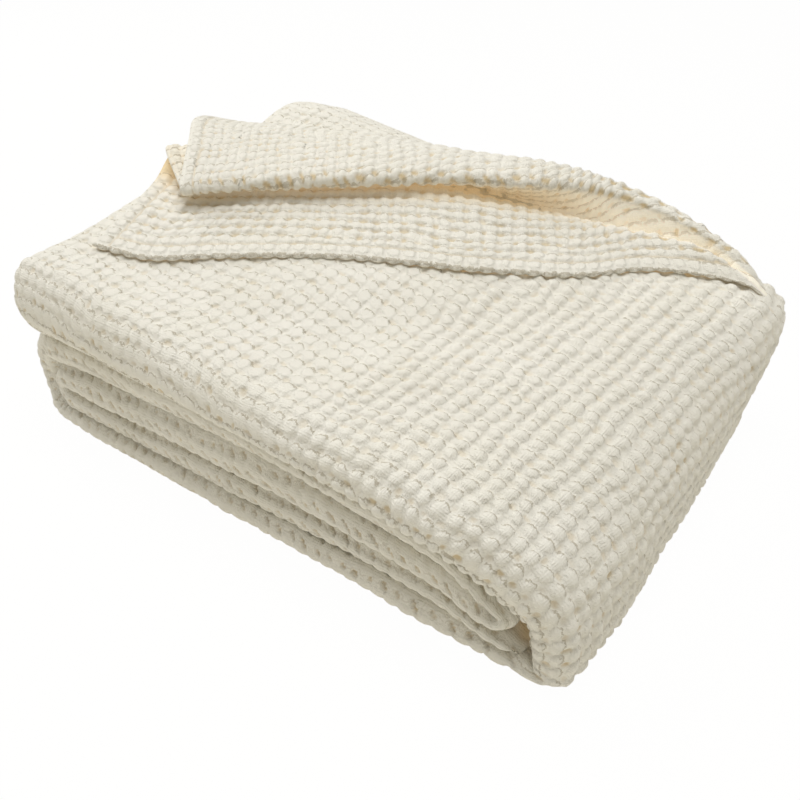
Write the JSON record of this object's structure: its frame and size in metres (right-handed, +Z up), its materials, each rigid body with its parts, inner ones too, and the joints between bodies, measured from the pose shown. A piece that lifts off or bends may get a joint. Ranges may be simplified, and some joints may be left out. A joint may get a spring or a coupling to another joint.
{
  "type": "waffle weave cotton blanket, folded",
  "caption": "Cream waffle weave cotton blanket folded into a low pack, with one corner turned back on top.",
  "frame": {"origin": "middle of the pack's bounding box, on the surface it rests on", "axes": "+X along the pack's long front edge towards its wrapped right end, +Y towards its back, +Z up"},
  "size_m": [0.4312, 0.3178, 0.1688],
  "materials": {
    "woven_cotton": "matte"
  },
  "bodies": {
    "root": {"blanket": "woven_cotton"}
  },
  "joints": []
}
